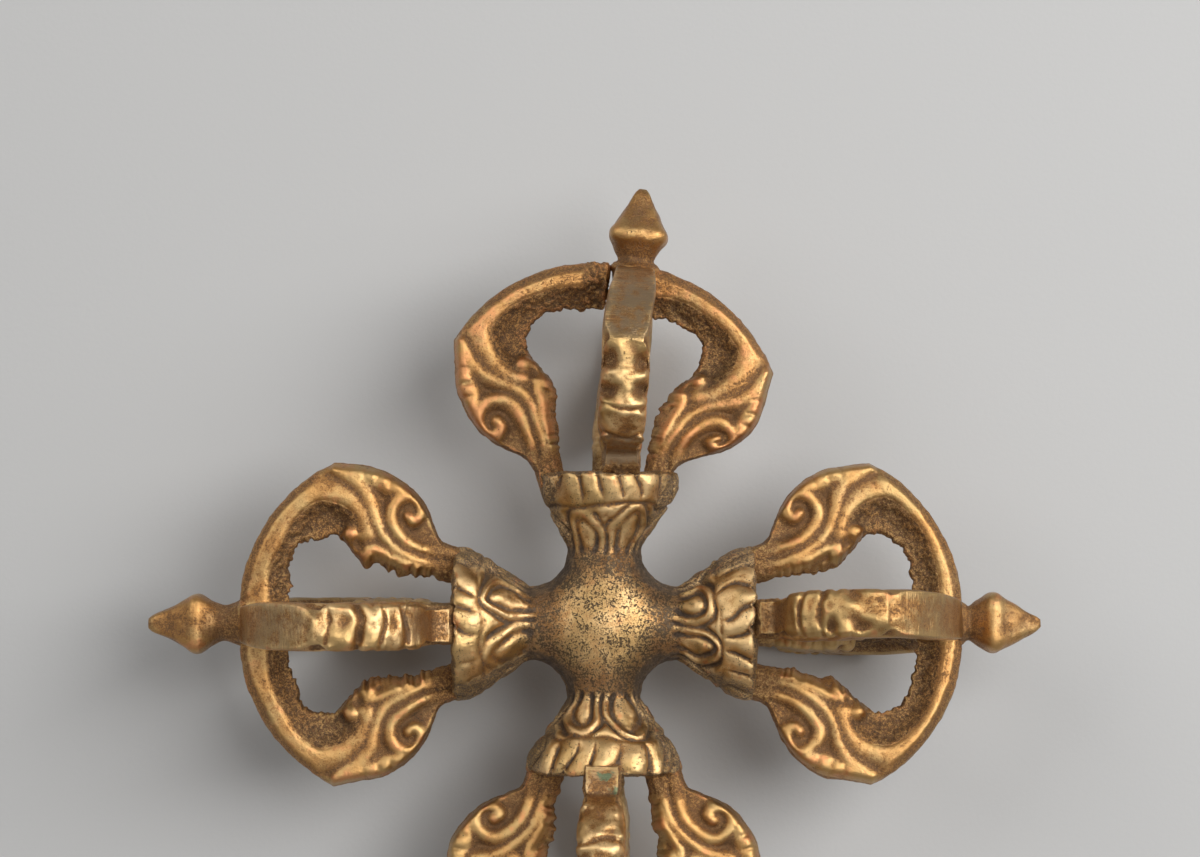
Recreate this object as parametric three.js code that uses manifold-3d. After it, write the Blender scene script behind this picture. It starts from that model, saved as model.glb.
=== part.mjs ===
// A double vajra: a cast brass cross whose four arms each end in a cage of four curled prongs
// under a pointed finial. It lies flat on its rear prongs, with the front prongs facing up.
//
// Frame: millimetres, +Z up, origin on the surface it lies on, below the middle of its outline.
// The right arm runs along +X and the top arm along +Y. Inside an arm, u is the distance from
// the hub's centre along the arm and r the distance from the arm's own axis.
import * as THREE from "three";
import { mergeVertices } from "three/addons/utils/BufferGeometryUtils.js";
import Module from "manifold-3d";

const wasm = await Module();
wasm.setup();
const { degToRad, lerp, smoothstep } = THREE.MathUtils;

// Hub: a pillow-shaped boss and the four necks that leave it
const bossRadius = 6.2;
const bossHalfHeight = 5.3;
const bossFullness = 2.5;
const neckRadius = 4.1;
const neckFillet = 1.6;
const neckLength = 8.2;

// Lotus collar: a cone of petals that ends in a scalloped rim
const collarFace = 16.8;
const collarRimRadius = 8.6;
const rimBandLength = 3.3;
const rimEdgeRound = 0.5;
const rimLobes = 18;
const rimLobeDepth = 0.34;
const collarFlare = 1.25;
const petals = 6;
const petalDepth = 0.6;
const petalStep = 0.25;
const petalTaper = 0.7;
const petalLevel = 0.55;

// Joints: a square tenon under each prong's foot, and the finial's seat between the prong tips
const jointGap = 0.3;
const tenonHalf = 1.1;
const tenonFromFootInner = 1.8;
const tenonDepth = 1.6;
const sideFootStand = 0.3;
const standingFootStand = 0.9;
const brokenTipGap = 0.55;

// Prong: a carved leaf that rises from the collar to a corner, then a band that closes the cage
const footInner = 4.2;
const footOuter = 8.4;
const stemLength = 2.6;
const stemFlare = 0.9;
const cornerFromCollar = 13.2;
const cornerRadius = 17.8;
const windowCornerFromCollar = 12.8;
const windowCornerRadius = 9.3;
const tipBandWidth = 4.9;
const stemHalfThickness = 2.1;
const leafHalfThickness = 2.65;
const tipHalfThickness = 2.15;
const grooveDepth = 0.75;
const wornFlatDepth = 0.3;

// Pulls of a prong's curves near their two ends. Each is a share of the way from the curve's
// start to its end: first along the arm, then away from it.
const outerLeafPulls = [[0.15, 0.86], [0.51, 0.98]];
const innerLeafPulls = [[0.29, 0.29], [0.73, 0.25]];
const outerBandPulls = [[0.37, 0.13], [0.96, 0.52]];
const innerBandPulls = [[0.46, -0.26], [1, 0.28]];

// Scroll: the volute on the leaf's outer side, in a basin, and the bud on its inner side.
// Their places are shares of the way along the leaf's edges.
const scrollRadius = 2.3;
const scrollEyeRadius = 0.95;
const scrollBand = 0.6;
const scrollPlace = 0.4;
const scrollProud = 0.6;
const scrollHalfThickness = 2.6;
const scrollTurns = 1.35;
const scrollInnerTurns = 0.92;
const basinDepth = 0.75;
const budRadius = 0.85;
const budPlace = 0.8;
const budHalfThickness = 2.2;
const edgeNotchDepth = 0.5;

// Finial: a four-sided point with rounded edges, on a round neck over a square seat
const seatHalf = 2.2;
const finialNeckRadius = 2.1;
const finialNeckLength = 0.7;
const longFinialNeckLength = 2.0;
const finialNeckSink = 0.6;
const finialHalfWidth = 3.6;
const finialRidgeRound = 0.6;
const finialSquareness = 0.5;
const finialUnderside = 2.9;
const finialPoint = 5.7;
const finialTipRadius = 0.35;

// Arms, anticlockwise. The cages came out of their moulds a little unlike: each has its own reach
// past the collar's face, its own roll about the arm in degrees, and the top one leans to the
// arm's right and holds its standing prongs and finial off the middle, to the same side.
const cageReach = 22.9;
const topCageStretch = 1.01;
const leftCageStretch = 1.03;
const topLean = -6;
const leanBendLength = 6;
const topStray = -1.35;
const arms = [
  { name: "right", turn: 0, cage: cageReach, neck: finialNeckLength, roll: -4, lean: 0, stray: 0 },
  {
    name: "top",
    turn: 90,
    cage: cageReach * topCageStretch,
    neck: finialNeckLength,
    roll: 1,
    lean: topLean,
    stray: topStray,
  },
  {
    name: "left",
    turn: 180,
    cage: cageReach * leftCageStretch,
    neck: longFinialNeckLength,
    roll: -1.5,
    lean: 0,
    stray: 0,
  },
  { name: "bottom", turn: 270, cage: cageReach, neck: finialNeckLength, roll: 1.5, lean: 0, stray: 0 },
];

// Names of each cage's two side prongs, the one at the arm's left first
const sideNames = {
  right: ["upper", "lower"],
  top: ["left", "right"],
  left: ["lower", "upper"],
  bottom: ["right", "left"],
};

// The side prong whose tip broke off just short of the finial
const brokenProng = "top_prong_left";

// Finish
const brass = new THREE.MeshStandardMaterial({ color: 0xa9793a, roughness: 0.42, metalness: 0.9 });
const filedBrass = new THREE.MeshStandardMaterial({ color: 0x9a7a48, roughness: 0.5, metalness: 0.85 });

// Turns a closed geometry into a solid that can be joined and cut
function solidOf(geometry) {
  const bare = geometry.index ? geometry.toNonIndexed() : geometry.clone();
  bare.deleteAttribute("normal");
  bare.deleteAttribute("uv");
  const merged = mergeVertices(bare, 1e-4);
  return new wasm.Manifold(
    new wasm.Mesh({
      numProp: 3,
      vertProperties: merged.attributes.position.array,
      triVerts: new Uint32Array(merged.index.array),
    }),
  );
}

// Turns a solid back into a geometry that three.js can draw
function geometryOf(solid) {
  const mesh = solid.getMesh();
  const geometry = new THREE.BufferGeometry();
  const positions = new Float32Array(mesh.vertProperties);
  geometry.setAttribute("position", new THREE.BufferAttribute(positions, 3));
  geometry.setIndex(new THREE.BufferAttribute(new Uint32Array(mesh.triVerts), 1));
  geometry.computeVertexNormals();
  return geometry;
}

// Moves each vertex of a geometry by a function that changes a Vector3 in place
function reshape(geometry, move) {
  const position = geometry.attributes.position;
  const point = new THREE.Vector3();
  for (let i = 0; i < position.count; i += 1) {
    point.fromBufferAttribute(position, i);
    move(point);
    position.setXYZ(i, point.x, point.y, point.z);
  }
  return geometry;
}

// A block between two u values, centred at r, square across the arm
function block(uFrom, uTo, rCentre, half) {
  const box = new THREE.BoxGeometry(uTo - uFrom, 2 * half, 2 * half);
  return box.translate((uFrom + uTo) / 2, rCentre, 0);
}

const tenonPlace = footInner + tenonFromFootInner;
const rimStart = collarFace - rimBandLength;

// Radius of the neck and collar at a distance from the hub's centre, before any carving
function collarProfile(u) {
  if (u < neckLength) return neckRadius;
  const along = (u - neckLength) / (collarFace - neckLength);
  return neckRadius + (collarRimRadius - neckRadius) * Math.sin((along * Math.PI) / 2) ** collarFlare;
}

// Fillet between two necks: it swells the sides that face the neighbouring arms
function neckSwelling(u, angle) {
  const corner = neckRadius + neckFillet;
  const into = THREE.MathUtils.clamp(corner - u, 0, neckFillet * Math.SQRT1_2);
  return (neckFillet - Math.sqrt(neckFillet ** 2 - into ** 2)) * Math.sin(angle) ** 2;
}

// Height of the carving on the collar: a row of long petals, a step, and a row of short lobes
function collarCarving(u, angle) {
  if (u >= rimStart) {
    const lobe = Math.abs(Math.sin((angle * rimLobes) / 2));
    const along = (u - rimStart) / rimBandLength;
    return petalStep - rimLobeDepth * (1 - lobe) * along;
  }
  const along = (u - neckLength) / (rimStart - neckLength);
  const petal = Math.abs(Math.sin((angle * petals) / 2));
  const fullness = Math.sin(Math.PI * THREE.MathUtils.clamp(along, 0, 1)) ** petalTaper;
  return petalDepth * fullness * (petal - petalLevel);
}

// One lathe along X for two opposite arms: neck, petals and rim at both ends
function collarPair() {
  const corner = neckRadius + neckFillet;
  const rings = [corner - neckFillet * Math.SQRT1_2, corner, neckLength];
  const petalRings = 3;
  const step = rimEdgeRound / 4;
  for (let i = 1; i <= petalRings; i += 1) {
    rings.push(lerp(neckLength, rimStart - step, i / petalRings));
  }
  rings.push(rimStart + step, collarFace - rimEdgeRound);
  const half = rings.map((u) => new THREE.Vector2(collarProfile(u), u));
  half.push(new THREE.Vector2(collarRimRadius - rimEdgeRound, collarFace));
  const mirrored = half.map((p) => new THREE.Vector2(p.x, -p.y)).reverse();
  const ends = [new THREE.Vector2(0, -collarFace), new THREE.Vector2(0, collarFace)];
  const profile = [ends[0], ...mirrored, ...half, ends[1]];
  const lathe = new THREE.LatheGeometry(profile, 2 * rimLobes);
  return reshape(lathe, (p) => {
    const u = Math.abs(p.y);
    const radius = Math.hypot(p.x, p.z);
    const angle = Math.atan2(p.z, p.x);
    const onSide = u < collarFace - rimEdgeRound / 2;
    const carved = onSide ? radius + neckSwelling(u, angle) + collarCarving(u, angle) : radius;
    p.set(p.y, carved * Math.sin(angle), carved * Math.cos(angle));
  });
}

// The boss: a lathe about Z whose profile is a superellipse
function boss() {
  const steps = 6;
  const profile = [];
  for (let i = -steps; i <= steps; i += 1) {
    const angle = (i / steps) * (Math.PI / 2);
    const radius = bossRadius * Math.cos(angle) ** (2 / bossFullness);
    const height = bossHalfHeight * Math.abs(Math.sin(angle)) ** (2 / bossFullness);
    profile.push(new THREE.Vector2(Math.abs(i) === steps ? 0 : radius, Math.sign(i) * height));
  }
  return new THREE.LatheGeometry(profile, 16).rotateX(Math.PI / 2);
}

// Standing prongs are the front and rear ones. The others lie at the cage's sides.
const isStanding = (quarter) => quarter === 90 || quarter === 270;

// The hub casting: two crossed collar pairs and the boss, with a socket for each prong's tenon
function hubCross() {
  const along = collarPair();
  let hub = solidOf(along).add(solidOf(along.clone().rotateZ(Math.PI / 2))).add(solidOf(boss()));
  const socketFloor = collarFace - tenonDepth - jointGap;
  for (const arm of arms) {
    for (const quarter of [0, 90, 180, 270]) {
      const socket = block(socketFloor, collarFace + jointGap, tenonPlace, tenonHalf + jointGap);
      socket.rotateX(degToRad(quarter + arm.roll)).translate(0, isStanding(quarter) ? arm.stray : 0, 0);
      socket.rotateZ(degToRad(arm.turn));
      hub = hub.subtract(solidOf(socket));
    }
  }
  return geometryOf(hub);
}

// A curve between two (u, r) points, drawn out by its pulls
function pulledCurve(from, to, pulls) {
  const [first, second] = pulls.map(
    ([along, away]) => new THREE.Vector2(lerp(from.x, to.x, along), lerp(from.y, to.y, away)),
  );
  return new THREE.CubicBezierCurve(from, first, second, to);
}

// The four edges of a prong in its own plane, as curves of (u, r)
function prongRails(arm, stand, tipRadius) {
  const v = (u, r) => new THREE.Vector2(u, r);
  const foot = collarFace + stand;
  const reach = collarFace + arm.cage;
  const stemTop = v(collarFace + stemLength, footOuter + stemFlare);
  const corner = v(collarFace + cornerFromCollar, cornerRadius);
  const windowCorner = v(collarFace + windowCornerFromCollar, windowCornerRadius);
  const outerLeaf = new THREE.CurvePath();
  outerLeaf.add(new THREE.LineCurve(v(foot, footOuter), stemTop));
  outerLeaf.add(pulledCurve(stemTop, corner, outerLeafPulls));
  return {
    outerLeaf,
    innerLeaf: pulledCurve(v(foot, footInner), windowCorner, innerLeafPulls),
    outerBand: pulledCurve(corner, v(reach, tipRadius), outerBandPulls),
    innerBand: pulledCurve(windowCorner, v(reach - tipBandWidth, tipRadius), innerBandPulls),
  };
}

// Lanes across a prong from its outer to its inner edge: place and height as shares of the
// prong's width and thickness. On the leaf, three crests stand between two grooves. They drift
// outwards as they rise, until on the band they are one bevel, a ridge and a sloped inner wall.
const leafLanes = [[0.04, 0.7], [0.2, 0.96], [0.36, 1], [0.5, 1], [0.66, 1], [0.82, 0.95], [0.97, 0.45]];
const bandLanes = [[0.03, 0.74], [0.1, 0.86], [0.2, 0.9], [0.3, 0.93], [0.4, 0.96], [0.5, 1], [0.98, 0.2]];
const laneGroove = [0, 0, 1, 0, 1, 0, 0];
const laneBasin = [0.4, 1, 1, 0.3, 0, 0, 0];

// Cross-section of a prong at one station: a closed loop of (u, r, w) points
function prongSection(outer, inner, half, look) {
  const lanes = bandLanes.map(([place, height], i) => {
    const [leafPlace, leafHeight] = leafLanes[i];
    const carved =
      laneGroove[i] * look.groove * grooveDepth +
      laneBasin[i] * look.basin * basinDepth +
      (i === 0 ? look.notch * edgeNotchDepth : 0);
    const w = lerp(leafHeight, height, look.drift) * half - carved;
    return [lerp(leafPlace, place, look.drift), w];
  });
  const at = (place, w) => {
    const p = outer.clone().lerp(inner, place);
    return new THREE.Vector3(p.x, p.y, w);
  };
  const front = lanes.map(([place, w]) => at(place, w));
  const back = lanes.map(([place, w]) => at(place, -w)).reverse();
  return [...front, ...back];
}

// Skins a row of closed sections into one closed body, with a flat end at each side
function skin(sections) {
  const count = sections[0].length;
  const positions = sections.flat().flatMap((p) => [p.x, p.y, p.z]);
  const index = [];
  for (let s = 0; s + 1 < sections.length; s += 1) {
    for (let i = 0; i < count; i += 1) {
      const a = s * count + i;
      const b = s * count + ((i + 1) % count);
      index.push(a, b, a + count, b, b + count, a + count);
    }
  }
  for (const [s, turned] of [[0, false], [sections.length - 1, true]]) {
    const loop = sections[s];
    const across = loop.map((p) => new THREE.Vector2(p.distanceTo(loop[0]), p.z));
    for (const [a, b, c] of THREE.ShapeUtils.triangulateShape(across, [])) {
      const tri = [a + s * count, b + s * count, c + s * count];
      index.push(...(turned ? tri.reverse() : tri));
    }
  }
  const geometry = new THREE.BufferGeometry();
  geometry.setAttribute("position", new THREE.Float32BufferAttribute(positions, 3));
  geometry.setIndex(index);
  return geometry;
}

// The volute: a spiral strip that winds from the stem round its own eye
function scroll(rails) {
  const steps = 9;
  const innerSteps = 5;
  const shrink = Math.log(scrollRadius / scrollEyeRadius) / (2 * Math.PI);
  const outer = rails.outerLeaf.getPoint(scrollPlace);
  const inward = rails.innerLeaf.getPoint(scrollPlace).sub(outer).normalize();
  const centre = outer.addScaledVector(inward, scrollRadius - scrollProud);
  const edge = (turn, inset) => {
    const angle = turn - Math.PI / 2;
    const radius = scrollRadius * Math.exp(-shrink * turn) - inset;
    return new THREE.Vector2(Math.cos(angle), Math.sin(angle)).multiplyScalar(radius).add(centre);
  };
  const outline = [];
  for (let i = 0; i <= steps; i += 1) {
    outline.push(edge((i / steps) * scrollTurns * 2 * Math.PI, 0));
  }
  for (let i = innerSteps; i >= 0; i -= 1) {
    outline.push(edge((i / innerSteps) * scrollInnerTurns * 2 * Math.PI, scrollBand));
  }
  const depth = 2 * scrollHalfThickness;
  const strip = new THREE.ExtrudeGeometry(new THREE.Shape(outline), { depth, bevelEnabled: false });
  return strip.translate(0, 0, -scrollHalfThickness);
}

// The bud on the inner side of the leaf, a short drum through its thickness
function bud(rails) {
  const place = rails.innerLeaf.getPoint(budPlace);
  const drum = new THREE.CylinderGeometry(budRadius, budRadius, 2 * budHalfThickness, 6);
  return drum.rotateX(Math.PI / 2).translate(place.x, place.y + budRadius / 3, 0);
}

// Stations along a prong. On the leaf: share of its length, basin round the scroll, edge notch.
const leafStations = [
  [0, 0, 0],
  [0.13, 0, 0],
  [0.24, 0.6, 0],
  [0.34, 1, 0],
  [0.46, 1, 0],
  [0.6, 0, 1],
  [0.73, 0, 0],
  [0.86, 0, 1],
];
const bandStations = [0, 0.2, 0.42, 0.63, 0.83, 1];

// One prong in its own plane: foot at the collar, leaf, corner, band and tip
function prongSolid(arm, stand, tipRadius) {
  const rails = prongRails(arm, stand, tipRadius);
  const sections = leafStations.map(([t, basin, notch]) => {
    const half = lerp(stemHalfThickness, leafHalfThickness, smoothstep(t, 0.18, 0.34));
    const look = { drift: smoothstep(t, 0.3, 1), groove: smoothstep(t, -0.2, 0.3), basin, notch };
    return prongSection(rails.outerLeaf.getPoint(t), rails.innerLeaf.getPoint(t), half, look);
  });
  for (const t of bandStations) {
    const half = lerp(leafHalfThickness, tipHalfThickness, smoothstep(t, 0.55, 1));
    const look = { drift: 1, groove: 0.5 * (1 - smoothstep(t, 0, 0.2)), basin: 0, notch: 0 };
    sections.push(prongSection(rails.outerBand.getPoint(t), rails.innerBand.getPoint(t), half, look));
  }
  const tenonFoot = collarFace + stand + jointGap;
  const tenon = block(collarFace - tenonDepth, tenonFoot, tenonPlace, tenonHalf);
  return [scroll(rails), bud(rails), tenon].reduce(
    (solid, piece) => solid.add(solidOf(piece)),
    solidOf(skin(sections)),
  );
}

// Moves a piece of a cage sideways, then bends it on an arc just past the collar and straight on
function leanInCage(geometry, quarter, arm, stray) {
  const turned = degToRad(quarter + arm.roll);
  const lean = degToRad(arm.lean);
  geometry.rotateX(turned).translate(0, stray, 0);
  if (lean !== 0) {
    const bendRadius = leanBendLength / lean;
    reshape(geometry, (p) => {
      const past = p.x - collarFace;
      if (past <= 0) return;
      const angle = Math.min(past / leanBendLength, 1) * lean;
      const straight = Math.max(past - leanBendLength, 0);
      const side = bendRadius - p.y;
      const x = collarFace + Math.sin(angle) * side + straight * Math.cos(angle);
      const y = bendRadius - Math.cos(angle) * side + straight * Math.sin(angle);
      p.set(x, y, p.z);
    });
  }
  return geometry.rotateX(-turned);
}

function prong(arm, name, quarter) {
  const stand = isStanding(quarter) ? standingFootStand : sideFootStand;
  const seatSide = arm.stray * Math.round(Math.cos(degToRad(quarter)));
  const breakGap = name === brokenProng ? brokenTipGap : 0;
  let solid = prongSolid(arm, stand, seatHalf + jointGap + seatSide + breakGap);
  if (quarter === 270) {
    const wear = new THREE.BoxGeometry(2 * arm.cage, cornerRadius, 2 * cornerRadius);
    wear.translate(collarFace + cornerFromCollar, 1.5 * cornerRadius - wornFlatDepth, 0);
    solid = solid.subtract(solidOf(wear.rotateX(-degToRad(arm.roll))));
  }
  const stray = isStanding(quarter) ? arm.stray : 0;
  const mesh = new THREE.Mesh(leanInCage(geometryOf(solid), quarter, arm, stray), brass);
  mesh.name = name;
  mesh.rotation.x = degToRad(quarter);
  return mesh;
}

// The finial: a lathe whose round section is pressed towards a square, and its square seat
function finial(arm) {
  const reach = collarFace + arm.cage;
  const neckEnd = reach + arm.neck;
  const widest = neckEnd + finialUnderside;
  const tip = widest + finialPoint;
  const profile = [
    [0, reach - finialNeckSink],
    [finialNeckRadius, reach - finialNeckSink],
    [finialNeckRadius, neckEnd],
    [finialHalfWidth - finialRidgeRound / 3, widest - finialRidgeRound],
    [finialHalfWidth, widest],
    [finialHalfWidth - finialRidgeRound / 2, widest + finialRidgeRound],
    [finialTipRadius, tip - finialTipRadius / 2],
    [0, tip],
  ].map(([r, u]) => new THREE.Vector2(r, u));
  const lathe = new THREE.LatheGeometry(profile, 12);
  reshape(lathe, (p) => {
    const angle = Math.atan2(p.z, p.x);
    const squareness = smoothstep(p.y, neckEnd, widest);
    const square = 1 / Math.max(Math.abs(Math.cos(angle)), Math.abs(Math.sin(angle)));
    const radius = Math.hypot(p.x, p.z) * lerp(1, square, finialSquareness * squareness);
    p.set(p.y, radius * Math.sin(angle), radius * Math.cos(angle));
  });
  const seat = block(reach - tipBandWidth - jointGap, reach + jointGap, 0, seatHalf);
  const solid = solidOf(lathe).add(solidOf(seat));
  const mesh = new THREE.Mesh(leanInCage(geometryOf(solid), 0, arm, arm.stray), filedBrass);
  mesh.name = `${arm.name}_finial`;
  return mesh;
}

// The whole piece: the hub casting, and on each arm a cage that is rolled as one
const model = new THREE.Group();
const hub = new THREE.Mesh(hubCross(), brass);
hub.name = "hub_cross";
model.add(hub);

for (const arm of arms) {
  const cage = new THREE.Group();
  cage.rotation.x = degToRad(arm.roll);
  const [leftSide, rightSide] = sideNames[arm.name];
  cage.add(prong(arm, `${arm.name}_prong_${leftSide}`, 0));
  cage.add(prong(arm, `${arm.name}_prong_front`, 90));
  cage.add(prong(arm, `${arm.name}_prong_${rightSide}`, 180));
  cage.add(prong(arm, `${arm.name}_prong_rear`, 270));
  cage.add(finial(arm));
  const limb = new THREE.Group();
  limb.rotation.z = degToRad(arm.turn);
  limb.add(cage);
  model.add(limb);
}

// Centres the outline over the origin and stands the worn flats on the surface
const reachOf = (name) => {
  const arm = arms.find((a) => a.name === name);
  return collarFace + arm.cage + arm.neck + finialUnderside + finialPoint;
};
model.position.set(
  (reachOf("left") - reachOf("right")) / 2,
  (reachOf("bottom") - reachOf("top")) / 2,
  cornerRadius - wornFlatDepth,
);

const part = new THREE.Group();
part.add(model);
export default part;
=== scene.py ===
"""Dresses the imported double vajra: carved prongs, collars and finials in worn brass, on a plain stage."""

import math
from types import SimpleNamespace

import bmesh
import bpy
import numpy as np
from bpy.props import FloatProperty, FloatVectorProperty, IntProperty, PointerProperty
from mathutils import Matrix, Vector


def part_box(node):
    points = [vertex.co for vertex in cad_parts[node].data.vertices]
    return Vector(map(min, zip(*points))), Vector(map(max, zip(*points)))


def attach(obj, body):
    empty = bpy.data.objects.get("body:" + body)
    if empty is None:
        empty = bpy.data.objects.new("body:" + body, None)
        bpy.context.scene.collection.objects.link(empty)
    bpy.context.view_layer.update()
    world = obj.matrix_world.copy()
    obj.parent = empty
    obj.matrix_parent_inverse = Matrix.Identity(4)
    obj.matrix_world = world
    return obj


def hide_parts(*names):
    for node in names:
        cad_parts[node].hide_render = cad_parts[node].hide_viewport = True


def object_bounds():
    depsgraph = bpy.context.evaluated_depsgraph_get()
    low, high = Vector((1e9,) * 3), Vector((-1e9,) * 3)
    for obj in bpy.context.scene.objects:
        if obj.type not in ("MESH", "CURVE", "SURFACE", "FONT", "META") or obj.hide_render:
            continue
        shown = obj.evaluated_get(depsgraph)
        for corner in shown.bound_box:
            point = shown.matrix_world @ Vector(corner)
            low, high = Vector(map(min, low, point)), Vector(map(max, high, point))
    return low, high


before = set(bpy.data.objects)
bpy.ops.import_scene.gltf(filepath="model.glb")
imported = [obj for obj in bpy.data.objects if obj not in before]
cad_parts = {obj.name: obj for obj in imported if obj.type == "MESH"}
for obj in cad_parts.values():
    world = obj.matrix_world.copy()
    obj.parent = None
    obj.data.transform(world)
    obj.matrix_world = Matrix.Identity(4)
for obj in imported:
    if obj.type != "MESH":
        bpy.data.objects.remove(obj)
cad_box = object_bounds()

bl_info = {
    "name": "Double vajra looks",
    "version": (1, 0, 0),
    "blender": (4, 5, 0),
    "location": "View3D > Sidebar > Double vajra",
    "description": "Carved prongs, lotus collars and finials in worn cast brass",
    "category": "Object",
}

MM = 0.001
BODY = "root"

# The hub's centre and its collars' faces come from the frame. Everything below is in millimetres.
hub_low, hub_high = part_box("hub_cross")
HUB = np.array((hub_low + hub_high) / 2) / MM
FACE = (hub_high.x - hub_low.x) / 2 / MM
BED = np.array(cad_box[0]) / MM
LID = np.array(cad_box[1]) / MM

# The arms. turn: the way an arm points, in degrees. cage, neck: its cage's reach past the collar and
# its finial's neck. roll, lean: the cage's turn about the arm and to one side, in degrees. stray,
# bow: how far the standing prongs stand to one side, and whether they bend. tuck: how far the side
# prongs' feet are drawn in. fray: raggedness of the inner edges. copper, dirt: how reddish and how
# dark the side prongs are. film: grey film on filed faces. stand: gap at the standing prongs' feet,
# less than 0 where they run in under the collar. skew, band, ring, flare, crisp: the collar's shift
# to one side, its rim band's length, the line behind that, its flare and how crisp it still is.
ARMS = [
    SimpleNamespace(name="right", sides=("upper", "lower"), turn=0, cage=22.9, neck=0.7, roll=-4, lean=0,
                    stray=0, bow=0, tuck=0.1, fray=0.8, copper=0.3, dirt=1.08, film=0.15, stand=0.3,
                    skew=0, band=4.0, ring=0.06, flare=1.0, crisp=1.0),
    SimpleNamespace(name="top", sides=("left", "right"), turn=90, cage=23.13, neck=0.7, roll=1, lean=-6,
                    stray=-1.35, bow=1, tuck=1.0, fray=0.9, copper=0.8, dirt=1.08, film=0.75, stand=0.6,
                    skew=0.45, band=3.7, ring=0.2, flare=0.86, crisp=0.7),
    SimpleNamespace(name="left", sides=("lower", "upper"), turn=180, cage=23.59, neck=2.0, roll=-1.5, lean=0,
                    stray=0, bow=0, tuck=0.1, fray=1.35, copper=0.45, dirt=0.92, film=0.3, stand=0.15,
                    skew=0, band=3.1, ring=0.1, flare=1.0, crisp=0.8),
    SimpleNamespace(name="bottom", sides=("right", "left"), turn=270, cage=22.9, neck=0.7, roll=1.5, lean=0,
                    stray=0, bow=0, tuck=0.0, fray=1.0, copper=0.4, dirt=0.85, film=0.3, stand=-1.2,
                    skew=0, band=4.1, ring=0.14, flare=1.03, crisp=1.0),
]
STANDING = (90, 270)
LEAN_BEND = 6.0
MASTER_CAGE = 22.9
TIP_RADIUS = 1.9

# Green spots on the front prongs: (u, across, up) from the hub's centre, and how far each reaches
VERDIGRIS = {
    "left": [((33.0, 1.4, 14.0), 1.5), ((31.0, 2.1, 14.6), 1.3), ((35.4, 1.2, 12.0), 1.1)],
    "bottom": [((16.6, 0.2, 9.4), 1.3), ((18.4, 1.2, 9.8), 1.0)],
}
BROKEN = "top_prong_left"

# A prong's outer and inner edge in its own plane, as matching stations: u along the arm from the
# hub's centre, r from the arm's axis. The outer edge is sharp at its corner, where its band starts.
OUTER_LEAF = [(15.2, 8.1), (18.0, 9.0), (18.9, 10.6), (19.9, 13.0), (21.6, 15.1), (24.2, 16.8), (27.0, 17.4),
              (29.7, 17.8)]
OUTER_BAND = [(29.7, 17.8), (31.9, 16.5), (34.4, 14.4), (36.9, 11.3), (38.7, 7.7), (39.5, 4.7), (39.8, 1.9)]
INNER_EDGE = [(15.2, 4.2), (18.2, 4.9), (20.0, 5.2), (21.6, 5.5), (23.4, 5.8), (25.2, 6.2), (26.7, 6.9),
              (28.7, 9.2), (30.8, 10.0), (32.6, 9.2), (34.0, 7.4), (34.6, 5.6), (34.7, 4.0), (34.8, 1.9)]

# Crests carved on a prong's faces as points, most with the half-width of the crest's rounded back
RIDGE = [(26.2, 9.9), (26.4, 10.9), (26.9, 12.0), (27.7, 13.1), (29.0, 14.1), (30.4, 14.6), (31.8, 14.6),
         (33.2, 13.8), (34.5, 12.6), (35.8, 10.8), (36.9, 8.5), (37.6, 6.2), (37.9, 4.2), (38.0, 1.9)]
STREAM = [(29.6, 17.2, 0.9), (28.2, 16.2, 1.2), (27.0, 15.2, 1.3), (26.2, 14.1, 1.3), (25.7, 12.6, 1.15),
          (25.2, 11.0, 1.05), (24.4, 9.6, 1.0), (23.0, 8.3, 0.9), (20.9, 7.2, 0.85), (18.7, 6.5, 0.8),
          (15.2, 6.2, 0.8)]
CURL = [(15.2, 7.6, 0.75), (18.2, 7.9, 0.8), (20.4, 8.5, 0.9), (22.2, 9.5, 1.0), (23.4, 10.9, 1.05),
        (23.7, 12.4, 1.0), (23.0, 13.8, 0.95), (21.6, 14.3, 0.9), (20.4, 13.6, 0.85), (20.2, 12.3, 0.85),
        (21.0, 11.6, 0.9), (21.6, 12.1, 0.8)]
HOOK = [(15.2, 4.9, 0.75), (18.6, 5.5, 0.75), (20.6, 6.1, 0.75), (22.4, 6.8, 0.75), (23.8, 7.5, 0.75),
        (24.8, 8.1, 0.8), (25.6, 8.4, 0.75), (26.2, 8.3, 0.6)]
LOBE = [(28.6, 16.9, 1.1), (26.8, 16.6, 1.4), (25.0, 16.2, 1.6), (23.6, 15.5, 1.5), (22.6, 15.2, 1.0)]

# Beads and hollows as (u, r, radius), and grooves between flames as lines
BEADS = [(27.9, 9.9, 1.15), (26.1, 7.5, 1.2)]
HOLLOWS = [(26.2, 17.6, 0.8), (22.9, 16.4, 0.6)]
FLAMES = [[(23.0, 17.0), (23.9, 15.0)], [(24.6, 17.6), (25.3, 15.2)], [(26.3, 17.8), (26.8, 15.9)]]

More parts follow.
